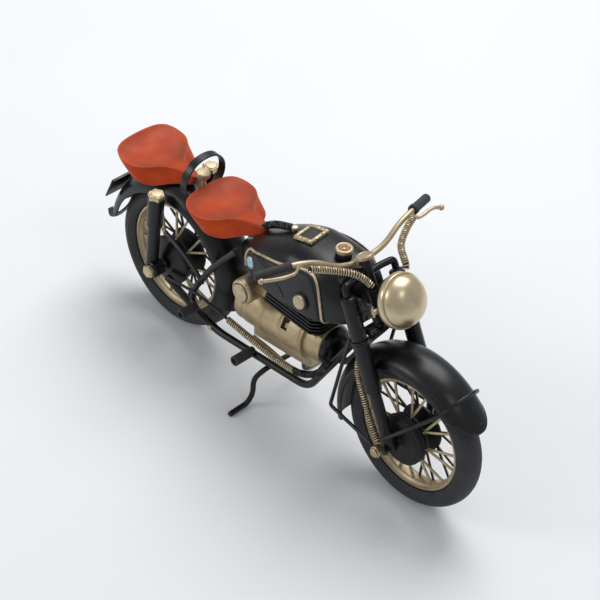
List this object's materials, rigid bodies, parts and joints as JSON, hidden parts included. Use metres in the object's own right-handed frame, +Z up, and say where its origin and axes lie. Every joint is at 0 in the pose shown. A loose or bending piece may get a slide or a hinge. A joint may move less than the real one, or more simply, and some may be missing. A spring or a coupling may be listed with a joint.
{
  "type": "tin display motorcycle",
  "caption": "Hand-made tin touring motorcycle with steering fork, rolling spoked wheels, folding centre stand, two saddles and gold-painted engine.",
  "frame": {"origin": "on the ground, under the middle of the bounding box", "axes": "+X forward (longest extent), +Y to the rider's left, +Z up"},
  "size_m": [0.2872, 0.121, 0.1436],
  "materials": {
    "black_paint": "satin black enamel on tin, a little dusty",
    "gold_paint": "champagne gold paint, satin, with brown antique toning",
    "gold_coil": "wound wire conduit, champagne gold paint",
    "matte_panel": "matte charcoal paint",
    "saddle_red": "orange-red satin paint, dusty in the dish",
    "tyre_rubber": "smooth dark grey rubber, matte",
    "grip_rubber": "dark grey sleeve, matte"
  },
  "bodies": {
    "root": {"frame_rail_right": "black_paint", "frame_rail_left": "black_paint", "subframe_loop_right": "black_paint", "subframe_loop_left": "black_paint", "steering_head": "black_paint", "crankcase": "gold_paint", "crankcase_front_cover": "black_paint", "cylinder_block": "black_paint", "carburettor_right": "gold_paint", "carburettor_left": "gold_paint", "fuel_tank": "black_paint", "knee_panel_right": "matte_panel", "knee_panel_left": "matte_panel", "filler_cap": "gold_paint", "tank_lid_frame": "gold_paint", "rear_fender": "black_paint", "seat_front": "saddle_red", "seat_rear": "saddle_red", "grab_handle": "black_paint", "seat_bolt": "gold_paint", "number_plate": "black_paint", "tail_bracket": "black_paint", "rear_axle": "gold_paint", "rear_brake_plate": "black_paint", "plunger_slider_right": "black_paint", "plunger_slider_left": "black_paint", "plunger_sleeve_right": "black_paint", "plunger_sleeve_left": "black_paint", "rider_peg_right": "black_paint", "rider_peg_left": "black_paint", "pillion_peg_right": "black_paint", "pillion_peg_left": "black_paint", "brake_pedal": "gold_paint", "rear_brake_cable": "gold_coil"},
    "steering": {"steering_stem": "black_paint", "fork_tube_right": "black_paint", "fork_tube_left": "black_paint", "fork_slider_right": "black_paint", "fork_slider_left": "black_paint", "front_axle": "gold_paint", "front_brake_plate": "black_paint", "front_fender": "black_paint", "headlight_shell": "black_paint", "headlight_dome": "gold_paint", "handlebar": "gold_paint", "grip_right": "grip_rubber", "grip_left": "grip_rubber", "bar_conduit_right": "gold_coil", "bar_conduit_left": "gold_coil", "front_fender_stay": "black_paint", "rear_fender_stay_right": "black_paint", "rear_fender_stay_left": "black_paint", "front_brake_cable": "gold_coil"},
    "front_wheel": {"front_tyre": "tyre_rubber", "front_rim": "gold_paint", "front_hub_spokes": "gold_paint"},
    "rear_wheel": {"rear_tyre": "tyre_rubber", "rear_rim": "gold_paint", "rear_hub_spokes": "gold_paint"},
    "stand": {"centre_stand": "black_paint"}
  },
  "joints": [
    {"name": "steering", "type": "hinge", "parent": "root", "child": "steering", "pos_m": [0.0627, 0, 0.105], "axis": [-0.4924, 0, 0.8704], "range_deg": [-15, 15]},
    {"name": "front_wheel_spin", "type": "hinge", "parent": "steering", "child": "front_wheel", "pos_m": [0.09864, 0, 0.045], "axis": [0, 1, 0], "continuous": true},
    {"name": "rear_wheel_spin", "type": "hinge", "parent": "root", "child": "rear_wheel", "pos_m": [-0.08836, 0, 0.045], "axis": [0, 1, 0], "continuous": true},
    {"name": "stand_fold", "type": "hinge", "parent": "root", "child": "stand", "pos_m": [-0.00086, 0, 0.0264], "axis": [0, 1, 0], "range_deg": [0, 75]}
  ]
}
